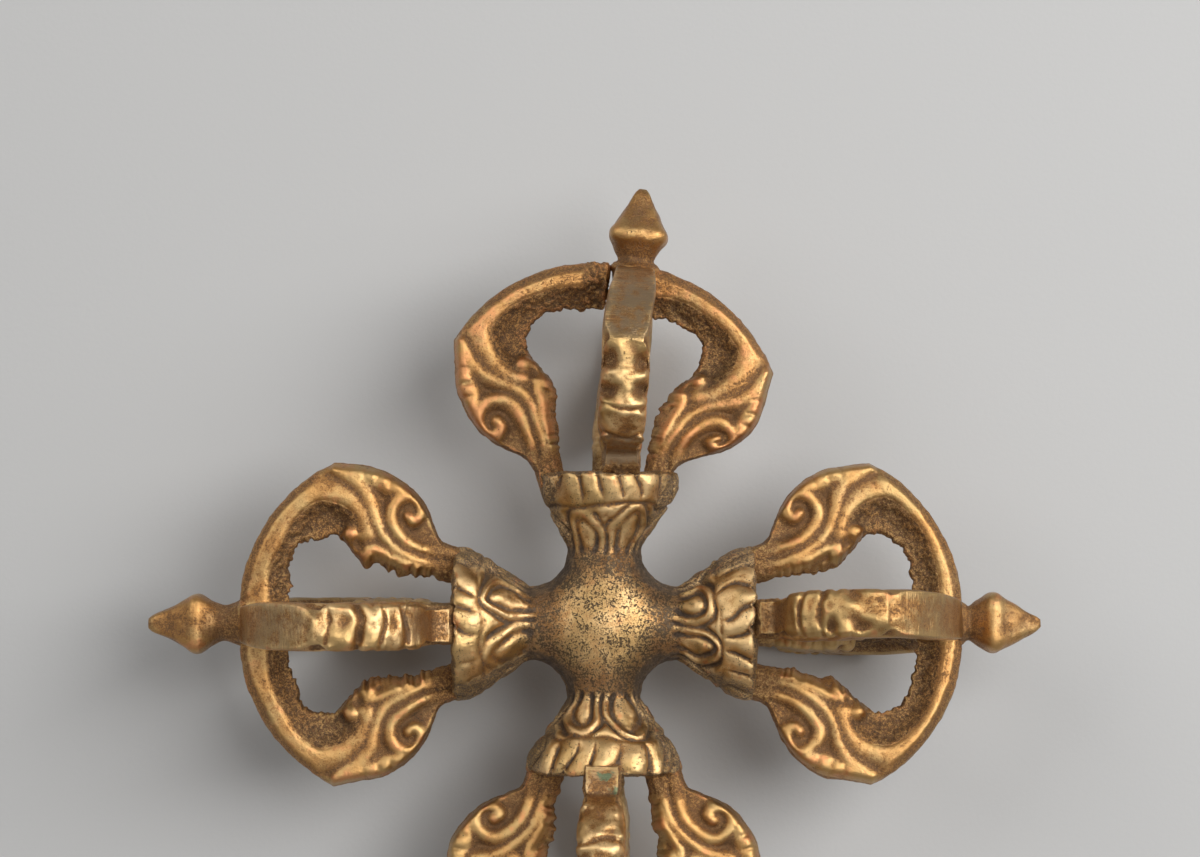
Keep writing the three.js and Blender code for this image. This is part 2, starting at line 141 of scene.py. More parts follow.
# The outer edge of each arm's standing prongs: where its foot block ends and its filed flat starts,
# how gradually that starts, cuts right across it as (u, half-width, depth), and hollows beside its
# crest as (u, w, half-length, half-width, depth), with w across the edge.
EDGES = {
    "right": SimpleNamespace(
        foot=19.1, flat=31.0, blend=2.0, cuts=[(19.2, 0.24, 0.5), (20.9, 0.3, 0.42), (23.2, 0.35, 0.3)],
        hollows=[(24.5, 1.6, 0.65, 0.9, 1.1), (27.4, 1.6, 1.0, 1.0, 1.1), (27.0, -2.2, 0.9, 1.0, 1.0),
                 (23.7, -2.4, 0.5, 0.8, 0.7), (20.2, 2.4, 0.5, 0.6, 0.3), (30.0, 2.3, 0.9, 0.7, 0.45)]),
    "top": SimpleNamespace(
        foot=20.0, flat=30.9, blend=0.7, cuts=[(20.15, 0.26, 0.55), (23.0, 0.3, 0.25)],
        hollows=[(28.5, 2.1, 1.05, 1.1, 2.0), (28.3, -2.2, 1.05, 1.1, 1.9), (25.3, 2.1, 0.95, 1.1, 1.9),
                 (25.0, -2.2, 0.95, 1.1, 1.9), (22.2, 2.9, 0.5, 0.8, 0.5), (21.9, -2.9, 0.5, 0.8, 0.4)]),
    "left": SimpleNamespace(
        foot=21.1, flat=32.2, blend=0.8,
        cuts=[(21.2, 0.26, 0.5), (23.4, 0.24, 0.3), (26.2, 0.5, 0.8), (29.5, 0.3, 0.25)],
        hollows=[(31.2, 2.4, 0.9, 1.2, 0.7), (30.9, -2.4, 0.9, 1.2, 0.7), (27.9, 2.8, 0.6, 0.8, 0.5),
                 (28.2, -2.7, 0.6, 0.8, 0.6), (24.8, 2.8, 0.5, 0.8, 0.4), (22.4, -2.8, 0.5, 0.8, 0.3)]),
    "bottom": SimpleNamespace(
        foot=18.2, flat=31.2, blend=0.8, cuts=[(18.3, 0.26, 0.45), (23.0, 0.3, 0.3)],
        hollows=[(20.6, 2.5, 0.9, 1.2, 0.8), (21.4, -2.5, 0.9, 1.2, 0.7), (25.0, 2.4, 0.9, 1.2, 0.9),
                 (25.4, -2.4, 0.8, 1.3, 0.9), (28.4, 2.5, 0.9, 1.2, 0.8), (28.7, -2.5, 0.9, 1.2, 0.8)]),
}

# How far a place stands out from its near surroundings where it counts as fully worn, and from its wider
# surroundings where it is fully clear of the painted shade and patina that broad hollows get
WEAR_DEPTH = (0.05, 0.22)

# The picture's size and the hub's middle in it, in pixels
PICTURE_WIDTH, PICTURE_HEIGHT = 1200, 857
HUB_PIXEL = (604, 623)
SENSOR_WIDTH = 36


def ramp(x, low, high):
    t = unit((x - low) / (high - low))
    return t * t * (3 - 2 * t)


def unit(x):
    return np.clip(x, 0, 1)


def mix(a, b, t):
    return a + (b - a) * t


def smooth_max(a, b, soft):
    h = unit(0.5 + 0.5 * (a - b) / soft)
    return mix(b, a, h) + soft * h * (1 - h)


def smooth_min(a, b, soft):
    return -smooth_max(-a, -b, soft)


def bell(x, wide):
    return np.exp(-((x / wide) ** 2))


def chance(cell, seed):
    """A repeatable number from 0 to 1 for each whole-numbered cell."""
    n = cell[..., 0] * 73856093 ^ cell[..., 1] * 19349663 ^ cell[..., 2] * 83492791 ^ (seed + 1) * 50331653
    n = ((n ^ (n >> 13)) * 1274126177) & 0x7FFFFFFF
    return ((n ^ (n >> 15)) & 0xFFFF) / 0xFFFF


def grain(points, size, seed=0):
    """Smooth hills and hollows from -1 to 1, about size apart."""
    place = points / size
    cell = np.floor(place).astype(np.int64)
    share = place - cell
    share = share * share * (3 - 2 * share)
    total = 0
    for corner in np.ndindex(2, 2, 2):
        at = np.array(corner)
        total = total + np.prod(np.where(at == 1, share, 1 - share), axis=-1) * chance(cell + at, seed)
    return 2 * total - 1


def curve(points, at):
    """A smooth curve through the points, sampled at places counted in points from the first."""
    p = np.array(points, float)
    p = np.vstack([2 * p[0] - p[1], p, 2 * p[-1] - p[-2]])
    i = np.clip(np.floor(at).astype(int), 0, len(points) - 2)
    t = (at - i)[:, None]
    a, b, c, d = p[i], p[i + 1], p[i + 2], p[i + 3]
    return 0.5 * (2 * b + (c - a) * t + (2 * a - 5 * b + 4 * c - d) * t**2 + (3 * b - a - 3 * c + d) * t**3)


def nearest(path, points):
    """For each point: distance to the path, side of it (1 left, -1 right), share along it, and the
    path's own row there."""
    fine = curve(path, np.linspace(0, len(path) - 1, 6 * len(path)))
    a, b = fine[:-1], fine[1:]
    best = np.full(len(points), np.inf)
    side = np.zeros(len(points))
    share = np.zeros(len(points))
    for i in range(len(a)):
        run = b[i, :2] - a[i, :2]
        to = points - a[i, :2]
        t = unit(to @ run / (run @ run))
        gap = to - t[:, None] * run
        distance = np.hypot(gap[:, 0], gap[:, 1])
        closer = distance < best
        best = np.where(closer, distance, best)
        side = np.where(closer, np.sign(run[0] * to[:, 1] - run[1] * to[:, 0]), side)
        share = np.where(closer, (i + t) / len(a), share)
    steps = np.linspace(0, 1, len(fine))
    row = np.stack([np.interp(share, steps, column) for column in fine.T], 1)
    return best, side, share, row


def rounded(distance, width):
    """Height of a rounded back, from 1 on its line to 0 at its half-width."""
    return unit(1 - (distance / width) ** 2) ** 0.7


def normals_of(rings):
    along = np.gradient(rings, axis=0)
    around = (np.roll(rings, -1, axis=1) - np.roll(rings, 1, axis=1)) / 2
    normal = np.cross(around, along)
    return normal / np.maximum(np.linalg.norm(normal, axis=-1, keepdims=True), 1e-9)


def placed(points, arm, quarter, stray=0):
    """Turns points from a prong's own (u, r, w) to the row frame, in millimetres."""
    turn = math.radians(quarter + arm.roll)
    x, r, w = points[..., 0], points[..., 1], points[..., 2]
    y = r * math.cos(turn) - w * math.sin(turn) + stray
    z = r * math.sin(turn) + w * math.cos(turn)
    if arm.lean:
        lean = math.radians(arm.lean)
        bend = LEAN_BEND / lean
        past = np.maximum(x - FACE, 0)
        angle = np.minimum(past / LEAN_BEND, 1) * lean
        straight = np.maximum(past - LEAN_BEND, 0)
        side = bend - y
        inside = x < FACE
        x = np.where(inside, x, FACE + np.sin(angle) * side + straight * np.cos(angle))
        y = np.where(inside, y, bend - np.cos(angle) * side + straight * np.sin(angle))
    a = math.radians(arm.turn)
    return np.stack([x * math.cos(a) - y * math.sin(a), x * math.sin(a) + y * math.cos(a), z], -1) + HUB


def on_arm(arm, place):
    """A place given along, across and above an arm, in the row frame."""
    u, across, up = place
    a = math.radians(arm.turn)
    return HUB + (u * math.cos(a) - across * math.sin(a), u * math.sin(a) + across * math.cos(a), up)


def fenced(points):
    """Keeps points inside the frame's own box, which also wears the rear prongs flat where they rest."""
    return np.clip(points, BED + 0.01, LID - 0.01)


def read(items, what, width):
    values = np.empty(len(items) * width)
    items.foreach_get(what, values)
    return values.reshape(-1, width) if width > 1 else values


def give(mesh, name, values):
    layer = mesh.attributes.get(name) or mesh.attributes.new(name, "FLOAT", "POINT")
    layer.data.foreach_set("value", np.asarray(values, np.float32))


def sleeve(name, rings, facts):
    """A closed body: a grid wrapped round the rings of points, welded along its seam and at both ends."""
    count, around = rings.shape[:2]
    bm = bmesh.new()
    bmesh.ops.create_grid(bm, x_segments=count - 1, y_segments=around, size=0.5)
    mesh = bpy.data.meshes.new(name)
    bm.to_mesh(mesh)
    flat = read(mesh.vertices, "co", 3)
    i = np.rint((flat[:, 0] + 0.5) * (count - 1)).astype(int)
    j = np.rint((flat[:, 1] + 0.5) * around).astype(int) % around
    mesh.vertices.foreach_set("co", (rings[i, j] * MM).ravel())
    for key, values in facts.items():
        give(mesh, key, values[i, j])
    bm.clear()
    bm.from_mesh(mesh)
    bmesh.ops.remove_doubles(bm, verts=bm.verts, dist=1e-8)
    bmesh.ops.holes_fill(bm, edges=[e for e in bm.edges if e.is_boundary], sides=0)
    bmesh.ops.recalc_face_normals(bm, faces=bm.faces)
    bm.to_mesh(mesh)
    bm.free()
    return mesh


def proudness(mesh, rounds):
    """How far each vertex stands out from its surroundings, in millimetres."""
    ends = read(mesh.edges, "vertices", 2).astype(int)
    a, b = ends[:, 0], ends[:, 1]
    start = read(mesh.vertices, "co", 3)
    count = len(start)
    degree = np.bincount(a, minlength=count) + np.bincount(b, minlength=count)
    blur = start.copy()
    for _ in range(rounds):
        for k in range(3):
            total = np.bincount(a, blur[b, k], count) + np.bincount(b, blur[a, k], count)
            blur[:, k] = 0.4 * blur[:, k] + 0.6 * total / np.maximum(degree, 1)
    return ((start - blur) * read(mesh.vertices, "normal", 3)).sum(1) / MM


def finish_piece(mesh, name, material, nodes, rounds=(8, 60)):
    """Adds the wear that handling gives and painted shade with patina in broad hollows, and hands the piece
    to the frame in place of its CAD nodes.
    """
    # The near measure gives wear on edges; the wider measure darkens broad hollows as painted shade and
    # patina
    for key, turns, depth in zip(("worn", "broad_shade_and_patina"), rounds, WEAR_DEPTH):
        give(mesh, key, unit(0.5 + 0.5 * proudness(mesh, turns) / depth))
    mesh.polygons.foreach_set("use_smooth", np.ones(len(mesh.polygons), bool))
    mesh.materials.append(material)
    piece = bpy.data.objects.new(name, mesh)
    bpy.context.scene.collection.objects.link(piece)
    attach(piece, BODY)
    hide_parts(*nodes)
    return piece


class Value:
    """A number that varies over a surface, with arithmetic that adds Math nodes."""

    def __init__(self, recipe, socket):
        self.recipe = recipe
        self.socket = socket

    def math(self, operation, *others):
        return self.recipe.node("ShaderNodeMath", {"operation": operation}, dict(enumerate(others)))

    def __add__(self, other):
        return self.math("ADD", self, other)

    __radd__ = __add__

    def __sub__(self, other):
        return self.math("SUBTRACT", self, other)

    def __rsub__(self, other):
        return self.math("SUBTRACT", other, self)

    def __mul__(self, other):
        return self.math("MULTIPLY", self, other)

    __rmul__ = __mul__

    def above(self, low, high):
        """0 below low, 1 above high, and smooth between them."""
        sockets = {"Value": self, "From Min": low, "From Max": high}
        return self.recipe.node("ShaderNodeMapRange", {"interpolation_type": "SMOOTHSTEP"}, sockets)


class Recipe:
    """A material in the making."""

    def __init__(self, name="", owner=None):
        self.material = owner or bpy.data.materials.new(name)
        self.material.use_nodes = True
        self.tree = self.material.node_tree
        self.tree.nodes.clear()
        self.place = self.node("ShaderNodeTexCoord", out="Generated" if owner else "Object")

    def node(self, kind, settings=None, sockets=None, out=0):
        """Adds a node, sets it up, fills its sockets with values or links, and gives one output."""
        made = self.tree.nodes.new(kind)
        for key, value in (settings or {}).items():
            setattr(made, key, value)
        for key, value in (sockets or {}).items():
            if isinstance(value, Value):
                self.tree.links.new(value.socket, made.inputs[key])
            else:
                made.inputs[key].default_value = value
        return Value(self, made.outputs[out]) if made.outputs else made

    def noise(self, size_mm, detail=2.0, roughness=0.5):
        sockets = {"Vector": self.place, "Scale": 1 / (size_mm * MM), "Detail": detail}
        return self.node("ShaderNodeTexNoise", None, {**sockets, "Roughness": roughness})

    def streaks(self, axis, size_mm):
        """Fine parallel marks that cross the given axis."""
        scale = [1 / (14 * size_mm * MM)] * 3
        scale["XYZ".index(axis)] = 1 / (size_mm * MM)
        mapped = self.node("ShaderNodeMapping", None, {"Vector": self.place, "Scale": scale}, out="Vector")
        return self.node("ShaderNodeTexNoise", None, {"Vector": mapped, "Scale": 1.0, "Detail": 1.0})

    def nearness(self, place_mm, reach_mm):
        """1 at a place, 0 at the reach from it, and less beyond."""
        sockets = {0: self.place, 1: Vector(place_mm) * MM}
        away = self.node("ShaderNodeVectorMath", {"operation": "DISTANCE"}, sockets, out="Value")
        return 1 - away * (1 / (reach_mm * MM))

    def attribute(self, name):
        return self.node("ShaderNodeAttribute", {"attribute_name": name}, out="Fac")

    def blend(self, share, *colours):
        first, second = (c if isinstance(c, Value) else (*c, 1) for c in colours)
        settings = {"data_type": "RGBA", "blend_type": "MIX", "clamp_factor": True}
        return self.node("ShaderNodeMix", settings, {0: share, 6: first, 7: second}, out=2)

    def bump(self, height, depth_mm):
        sockets = {"Height": height, "Distance": depth_mm * MM, "Strength": 1.0}
        return self.node("ShaderNodeBump", None, sockets)

    def surface(self, sockets):
        shader = self.node("ShaderNodeBsdfPrincipled", None, sockets)
        self.node("ShaderNodeOutputMaterial", None, {"Surface": shader})
        return self.material


def worn_brass(name, finish, rubbed, earth_and_shade, copper, dirt, file_axis=None, film=0.2, spots=()):
    """Cast brass: rubbed bright on crests, dull on the slopes, dirty in the carving and painted with shade in
    broad hollows, with grain and pits. Where a file axis is given, marks cross it under a grey film. Spots
    are (place, reach, colour)."""
    recipe = Recipe(name)
    keys = ("worn", "broad_shade_and_patina", "crest", "grit", "speck")
    worn, broad_shade_and_patina, crest, grit, speck = (recipe.attribute(key) for key in keys)
    cloud = recipe.noise(4.0, 3)
    mottle = recipe.noise(1.1, 3, 0.6)
    sand = recipe.noise(0.3, 4, 0.75)
    dust = recipe.noise(0.14, 1)

    # Where the brass is rubbed, where dirt and painted shade lie, and where grains of metal or black pits
    # show
    peaks = (sand - 0.5) * 2.2 + (dust - 0.5) * 1.2
    # The wider measure lowers this in broad hollows, which paints shade there along with patina and dirt
    rub_and_shade = broad_shade_and_patina * 0.8 + worn * 0.45 + crest * 0.45 + (mottle - 0.5) * 1.1 + (cloud - 0.5) * 0.8 - dirt * 0.4
    bright = (rub_and_shade + peaks * 0.5).above(0.6, 1.2)
    dark = 1 - (rub_and_shade + peaks).above(0.2, 0.82)
    wall = (grit + (mottle - 0.5) * 0.9 + (sand - 0.5) * 0.6).above(0.15, 0.75)
    brown = (dark + wall).above(0.05, 1.0)
    sparkle = (sand + (dust - 0.5) * 0.7 + worn * 0.1).above(0.54, 0.66)
    clumps = (mottle - 0.5) * 0.42 + (cloud - 0.5) * 0.2 + speck * 0.25 + dark * 0.08
    pit = (sand + (dust - 0.5) * 0.5 + clumps).above(0.7, 0.76)

    gold = recipe.blend(cloud.above(0.35, 0.65), rubbed, finish.olive)
    blush = worn * 0.4 + broad_shade_and_patina * 0.3 + (recipe.noise(1.8, 2) - 0.5) * 1.7
    gold = recipe.blend(blush.above(0.8 - 0.5 * copper, 1.2 - 0.5 * copper), gold, finish.copper)
    haze = (cloud + (mottle - 0.5) * 0.5).above(0.4, 0.65)
    dull = recipe.blend(haze, finish.amber, finish.tan)
    black = (dark * 0.5 + wall * 0.2 + (dust - 0.5) * 1.8).above(0.3, 0.95)
    # These dark colours stand for patina and dirt, and also for painted shade where broad hollows are
    # darkened
    soil_and_shade = recipe.blend(black, earth_and_shade, finish.soot)
    colour = recipe.blend(bright, dull, gold)
    colour = recipe.blend(brown * (1 - sparkle * 0.75) * 0.94, colour, soil_and_shade)
    colour = recipe.blend(brown * sparkle * 0.6, colour, gold)
    colour = recipe.blend(pit * 0.9, colour, finish.soot)
    rough = 0.37 - bright * 0.06 + brown * 0.17 + pit * 0.1 + (mottle - 0.5) * 0.15
    height = sand * 0.9 + dust * 0.3 + mottle * 0.5 + brown * sand * 1.3 - pit * 0.6
    if file_axis:
        marks = recipe.streaks(file_axis, 0.13)
        filed = recipe.attribute("filed")
        height = height + filed * marks * 0.5
        lines = filed * (1 - marks.above(0.3, 0.6)) * (0.15 + 0.4 * film)
        colour = recipe.blend(lines, colour, finish.brown)
        veil = filed * (mottle * 1.4 + cloud * 0.6).above(0.85, 1.15) * film
        colour = recipe.blend(veil, colour, finish.grey)
    for place, reach, hue in spots:
        spot = (recipe.nearness(place, reach) + (mottle - 0.5) * 2.2 + (sand - 0.5) * 1.5).above(0.45, 0.7)
        colour = recipe.blend(spot * 0.75, colour, hue)
        rough = rough + spot * 0.25
    metallic = 1 - 0.35 * brown * (1 - sparkle) - 0.3 * pit
    normal = recipe.bump(height, 0.08)
    return recipe.surface({"Base Color": colour, "Metallic": metallic, "Roughness": rough, "Normal": normal})


def prong_rails(arm, tip_radius, count):
    """Matching rows of points along a prong's outer and inner edges, and the share along it of each row."""
    last = len(INNER_EDGE) - 1
    corner = len(OUTER_LEAF) - 1
    fine = np.linspace(0, last, 1500)
    leaf = curve(OUTER_LEAF, np.minimum(fine, corner))
    band = curve(OUTER_BAND, np.maximum(fine - corner, 0))
    outer = np.where((fine <= corner)[:, None], leaf, band)
    inner = curve(INNER_EDGE, fine)
    run = np.linalg.norm(np.diff(outer, axis=0), axis=1) + np.linalg.norm(np.diff(inner, axis=0), axis=1)
    length = np.concatenate([[0], np.cumsum(run)])
    at = np.interp(np.linspace(0, length[-1], count), length, np.arange(len(fine)))
    rows = []
    for rail in (outer, inner):
        u, r = (np.interp(at, np.arange(len(fine)), rail[:, k]) for k in range(2))
        u = np.where(u > FACE, FACE + (u - FACE) * arm.cage / MASTER_CAGE, u)
        near_tip = unit((6 - r) / 4) * (at > corner / last * len(fine))
        rows.append(np.stack([u, r + (tip_radius - TIP_RADIUS) * near_tip], 1))
    return rows[0], rows[1], at / len(fine)


def worn_rails(name, arm, quarter, count, seed):
    """A prong's edges as handed down: frayed inside, wavy along the leaf, with the foot that its arm has.
    Also the width between them, the way outwards and the share along the prong."""
    if name == BROKEN:
        tip_radius = 1.75
    else:
        tip_radius = TIP_RADIUS + arm.stray * round(math.cos(math.radians(quarter)))
    outer, inner, share = prong_rails(arm, tip_radius, count)
    width = np.linalg.norm(outer - inner, axis=1)[:, None]
    outward = (outer - inner) / width
    ragged = np.column_stack([inner, np.full(count, 3.0 * seed)])
    sizes = ((0.36, 1.5), (0.26, 0.6), (0.12, 0.3))
    fray = sum(depth * grain(ragged, size, seed + k) for k, (depth, size) in enumerate(sizes))
    inner = inner - outward * (arm.fray * fray * ramp(inner[:, 0], 17.5, 20))[:, None]
    sway = 0.16 * grain(np.column_stack([outer, np.full(count, 5.0 * seed)]), 3.4, seed + 3)
    on_leaf = ramp(outer[:, 0], 19, 22) * (1 - ramp(share, 0.55, 0.62))
    outer = outer + outward * (sway * on_leaf)[:, None]
    if quarter in STANDING:
        u, foot, start = outer[:, 0], 19.0, FACE + arm.stand
        outer[:, 0] = np.where(u < foot, foot - (foot - u) * (foot - start) / (foot - u[0]), u)
        for rail in (outer, inner):
            rail[:, 1] = np.minimum(rail[:, 1], 17.35 - 0.02 * (rail[:, 0] - OUTER_BAND[0][0]) ** 2)
        outer[:, 1] += (1.0 + 0.3 * (arm.stand < 0)) * (1 - ramp(outer[:, 0], 17.5, 21.5))
    else:
        outer[:, 1] -= arm.tuck * (1 - ramp(outer[:, 0], 16.6, 19.4))
    return outer, inner, width, outward, share


def relief(points, sizes, seed):
    """The carving at points on a prong's face: its rise, 1 on the crests and 0 in the valleys, and less on
    the inner wall, and how much of that wall's grit each point has."""
    flat = np.column_stack([points, np.full(len(points), 7.0 * seed)])
    drift = np.stack([grain(flat, 3.1, seed), grain(flat, 3.1, seed + 50)], 1)
    p = points + 0.28 * drift
    rise = np.zeros(len(p))
    for crest in (STREAM, CURL, HOOK, LOBE):
        away, _, _, row = nearest(crest, p)
        rise = smooth_max(rise, rounded(away, row[:, 2]), 0.1)
    for u, r, radius in BEADS:
        rise = smooth_max(rise, 0.95 * rounded(np.hypot(p[:, 0] - u, p[:, 1] - r), radius), 0.1)
    away, side, share, _ = nearest(RIDGE, p)
    leaf_side = rounded(away, mix(1.4, 2.1, ramp(share, 0, 0.4)))
    outside = mix(leaf_side, 1 - 0.25 * (away / 2.0) ** 1.5, ramp(share, 0.38, 0.55))
    fall = sizes.wall_fall / sizes.valley * (1 - np.exp(-((away / 1.7) ** 2.2)))
    wall = (side < 0) & (share > 0.02) & (away < 6)
    grit = np.where(wall, ramp(away, 0.55, 1.1), 0)
    lifted = rise - 2.5 * (1 - np.minimum(rise * 3, 1))
    rise = np.where(wall, smooth_max(1 - fall, lifted, 0.1), smooth_max(rise, outside, 0.12))
    for u, r, radius in HOLLOWS:
        rise = rise - 0.5 * rounded(np.hypot(p[:, 0] - u, p[:, 1] - r), radius)
    for flame in FLAMES:
        away, _, share, _ = nearest(flame, p)
        rise = rise - 0.45 * bell(away, 0.2) * ramp(share, 1.0, 0.6)
    stem = 1 - ramp(p[:, 0], 17.5, 21.0)
    return mix(rise, 0.55 + 0.35 * rise, stem), np.maximum(grit * (lifted < 0), 0.75 * stem)


def half_thickness(u, share, rise, from_outer, from_inner, standing, sizes):
    """Half of a prong's thickness at places on its face, with its carving and its worn edges."""
    half = mix(sizes.stem_half, sizes.leaf_half, ramp(u, FACE + 1.5, FACE + 5.5))
    half = mix(half, sizes.tip_half, ramp(share, 0.72, 1))
    w = half - sizes.valley * (1 - rise)
    edge = 0.9 if standing else 0.6
    chamfer = mix(edge, 1.0, unit(from_outer))
    roundover = mix(edge - 0.1, 1.02, np.sqrt(unit(1 - (1 - unit(from_outer / 0.8)) ** 2)))
    w = smooth_min(w, half * mix(roundover, chamfer, ramp(share, 0.55, 0.6)), 0.12)
    w = smooth_min(w, half * (0.3 + 0.75 * np.sqrt(unit(from_inner / 1.3))), 0.12)
    w = np.maximum(w, 0.35)
    for _ in range(2):
        w[1:-1] = (w[:-2] + 2 * w[1:-1] + w[2:]) / 4
        w[:, 1:-1] = (w[:, :-2] + 2 * w[:, 1:-1] + w[:, 2:]) / 4
    return w * (1 - 0.2 * ramp(share, 0.94, 1)) if standing else w


def prong_mesh(name, arm, quarter, sizes, seed):
    """A prong as rings round its length: a carved face, the inner wall, the other face and the outer wall."""
    standing = quarter in STANDING
    count = sizes.stations
    inner_lanes = 8
    outer_lanes = 30 if standing else 8
    outer, inner, width, outward, share = worn_rails(name, arm, quarter, count, seed)
    t = np.linspace(0, 1, sizes.lanes - 7 if standing else sizes.lanes + 1)
    flat = outer[:, None] * (1 - t)[None, :, None] + inner[:, None] * t[None, :, None]
    rise, grit = (fact.reshape(count, -1) for fact in relief(flat.reshape(-1, 2), sizes, seed))
    from_outer, from_inner = t[None] * width, (1 - t)[None] * width
    w = half_thickness(flat[..., 0], share[:, None], rise, from_outer, from_inner, standing, sizes)

    k_in = np.linspace(-1, 1, inner_lanes + 2)[1:-1]
    k_out = np.linspace(-1, 1, outer_lanes + 2)[1:-1]
    bulge = 0.0 if standing else sizes.edge_bulge
    outer_line = outer[:, None] + outward[:, None] * bulge * (1 - k_out**2)[None, :, None]
    inner_line = inner[:, None] - outward[:, None] * 0.1 * (1 - k_in**2)[None, :, None]
    inner_wall = np.dstack([inner_line, w[:, -1:] * -k_in])
    outer_wall = np.dstack([outer_line, w[:, :1] * k_out])
    rings = np.concatenate([np.dstack([flat, w]), inner_wall, np.dstack([flat, -w])[:, ::-1], outer_wall], 1)

    def round_ring(face, inside, outside):
        walls = [np.full((count, inner_lanes), inside), np.full((count, outer_lanes), outside)]
        return np.concatenate([face, walls[0], face[:, ::-1], walls[1]], 1)

    if standing:
        grit, crest = round_ring(grit, 1.0, 0.0), round_ring(rise, 0.0, 0.7)
        reach = round_ring(from_outer, 9.0, 0.0)
        rings, crest, filed = filed_edge(rings, outward[:, None], reach, crest, EDGES[arm.name], seed)
        along = rings[..., 0]
        rings[..., 2] += arm.bow * (0.4 * (1 - ramp(along, 17, 25)) - 0.45 * bell(along - 32.5, 4))
    else:
        on_band = ramp(share, 0.55, 0.6)[:, None]
        crest = rise - 0.9 * on_band * (1 - ramp(from_outer, 0.5, 1.2))
        grit = np.maximum(grit, 0.45 * on_band * (1 - ramp(from_outer, 0.3, 1.0)))
        grit, crest = round_ring(grit, 1.0, 0.5), round_ring(crest, 0.0, 0.1)
        filed = np.zeros_like(crest)
    rings, (grit, crest, filed) = rounded_ends(rings, (grit, crest, filed), standing)

    coarse = grain(rings + 11 * seed, 2.4, seed)
    rough = grain(rings + 5 * seed, 0.75, seed + 1) + 0.7 * grain(rings, 0.36, seed + 2)
    if name == BROKEN:
        torn = ramp(np.linspace(0, 1, len(rings)), 0.9, 0.95)[:, None]
        grit, crest, rough = np.maximum(grit, 1.2 * torn), crest * (1 - torn), rough * (1 + torn)
    lift = 0.06 * coarse + 0.012 * rough * (1 - unit(grit)) + sizes.wall_grit * rough * grit
    rings = rings + normals_of(rings) * lift[..., None]
    facts = {"grit": unit(grit), "crest": unit(crest), "filed": unit(filed)}
    return sleeve(name, fenced(placed(rings, arm, quarter, arm.stray if standing else 0)), facts)


def filed_edge(rings, outward, from_outer, crest, look, seed):
    """The outer edge of a standing prong: foot block and knobs, a crest between hollows, and a filed flat."""
    u, w = (rings[..., k] + 0.35 * grain(rings + seed, 2.2, seed + k // 2) for k in (0, 2))
    near = 1 - ramp(from_outer, 0.4, 2.3)
    hollow = sum(depth * np.exp(-((u - a) / long) ** 2 - ((w - b) / wide) ** 2)
                 for a, b, long, wide, depth in look.hollows)
    bowed = u - 0.07 * w**2
    cuts = sum(depth * bell(bowed - at, wide) for at, wide, depth in look.cuts)
    carved = ramp(u, look.foot, look.foot + 0.8)
    carved = carved * (1 - ramp(u, look.flat - look.blend, look.flat + look.blend))
    crown = 0.55 * np.abs(w / 2.65) ** 3 * carved
    block = 0.4 * (1 - ramp(u, look.foot - 0.1, look.foot + 0.3))
    lumps = 0.34 * grain(rings + 3 * seed, 1.7, seed + 5) + 0.14 * grain(rings, 0.8, seed + 6)
    sunk = hollow + cuts + crown + block + lumps * (0.25 + 0.75 * carved)
    rings = rings.copy()
    rings[..., :2] -= outward * (sunk * near)[..., None]
    wider = 0.06 * (1 - ramp(u, look.foot - 0.1, look.foot + 0.4))
    rings[..., 2] *= 1 + wider - 0.08 * unit(cuts)
    on_foot = 1 - ramp(u, look.foot - 0.2, look.foot + 0.5)
    return rings, crest - (hollow + 0.9 * cuts + 0.5 * on_foot) * near, (1 - carved) * near


def rounded_ends(rings, facts, standing):
    """Closes the ends: a rounded tip, and a foot that is rounded or, on a standing prong, a tenon."""
    def drawn(ring, beside, steps):
        centre = ring.mean(0)
        push = centre - beside.mean(0)
        push = push / np.linalg.norm(push)
        return [centre + (ring - centre) * scale + push * out for scale, out in steps]

    dome = [(0.93, 0.12), (0.75, 0.22), (0.4, 0.25), (0.05, 0.25)]
    stub = [(0.96, 0.06), (0.45, 0.08), (0.4, 0.1), (0.4, 1.3)]
    foot = drawn(rings[0], rings[6], stub if standing else dome)
    rings = np.stack([*reversed(foot), *rings, *drawn(rings[-1], rings[-6], dome)])
    ends = [np.full((4, rings.shape[1]), share) for share in (0.6, 0.0, 0.0)]
    return rings, [np.concatenate([end, fact, end]) for end, fact in zip(ends, facts)]


def arm_number(p):
    """The place in ARMS of the arm that each point belongs to."""
    along_x = np.abs(p[:, 0]) > np.abs(p[:, 1])
    return np.where(along_x, np.where(p[:, 0] > 0, 0, 2), np.where(p[:, 1] > 0, 1, 3))


def by_arm(p, key):
    """A fact of the arm that each point belongs to."""
    return np.array([getattr(arm, key) for arm in ARMS], float)[arm_number(p)]


def hub_field(p, sizes):
    """Signed distance, near enough, from the hub's smooth skin."""
    neck, rim, start = sizes.neck_radius, sizes.rim_radius, sizes.neck_length

    def collars(u, side, up, flares):
        flare = np.where(u > 0, *flares)
        along = unit((np.abs(u) - start) / (FACE - start))
        radius = neck + (rim - neck) * flare * np.sin(along * math.pi / 2) ** 1.25
        round_part = (np.hypot(side, up) - radius) * 0.85
        return smooth_max(round_part, np.abs(u) - FACE, 0.6)

    power = 2.5
    wide = np.hypot(p[:, 0], p[:, 1]) / sizes.boss_radius
    tall = np.abs(p[:, 2]) / sizes.boss_half_height
    boss = ((wide**power + tall**power) ** (1 / power) - 1) * sizes.boss_half_height
    right, top, left, bottom = (arm.flare for arm in ARMS)
    across = collars(p[:, 0], p[:, 1], p[:, 2], (right, left))
    upright = collars(p[:, 1], p[:, 0], p[:, 2], (top, bottom))
    return smooth_min(smooth_min(across, upright, 2.2), boss, 3.0)


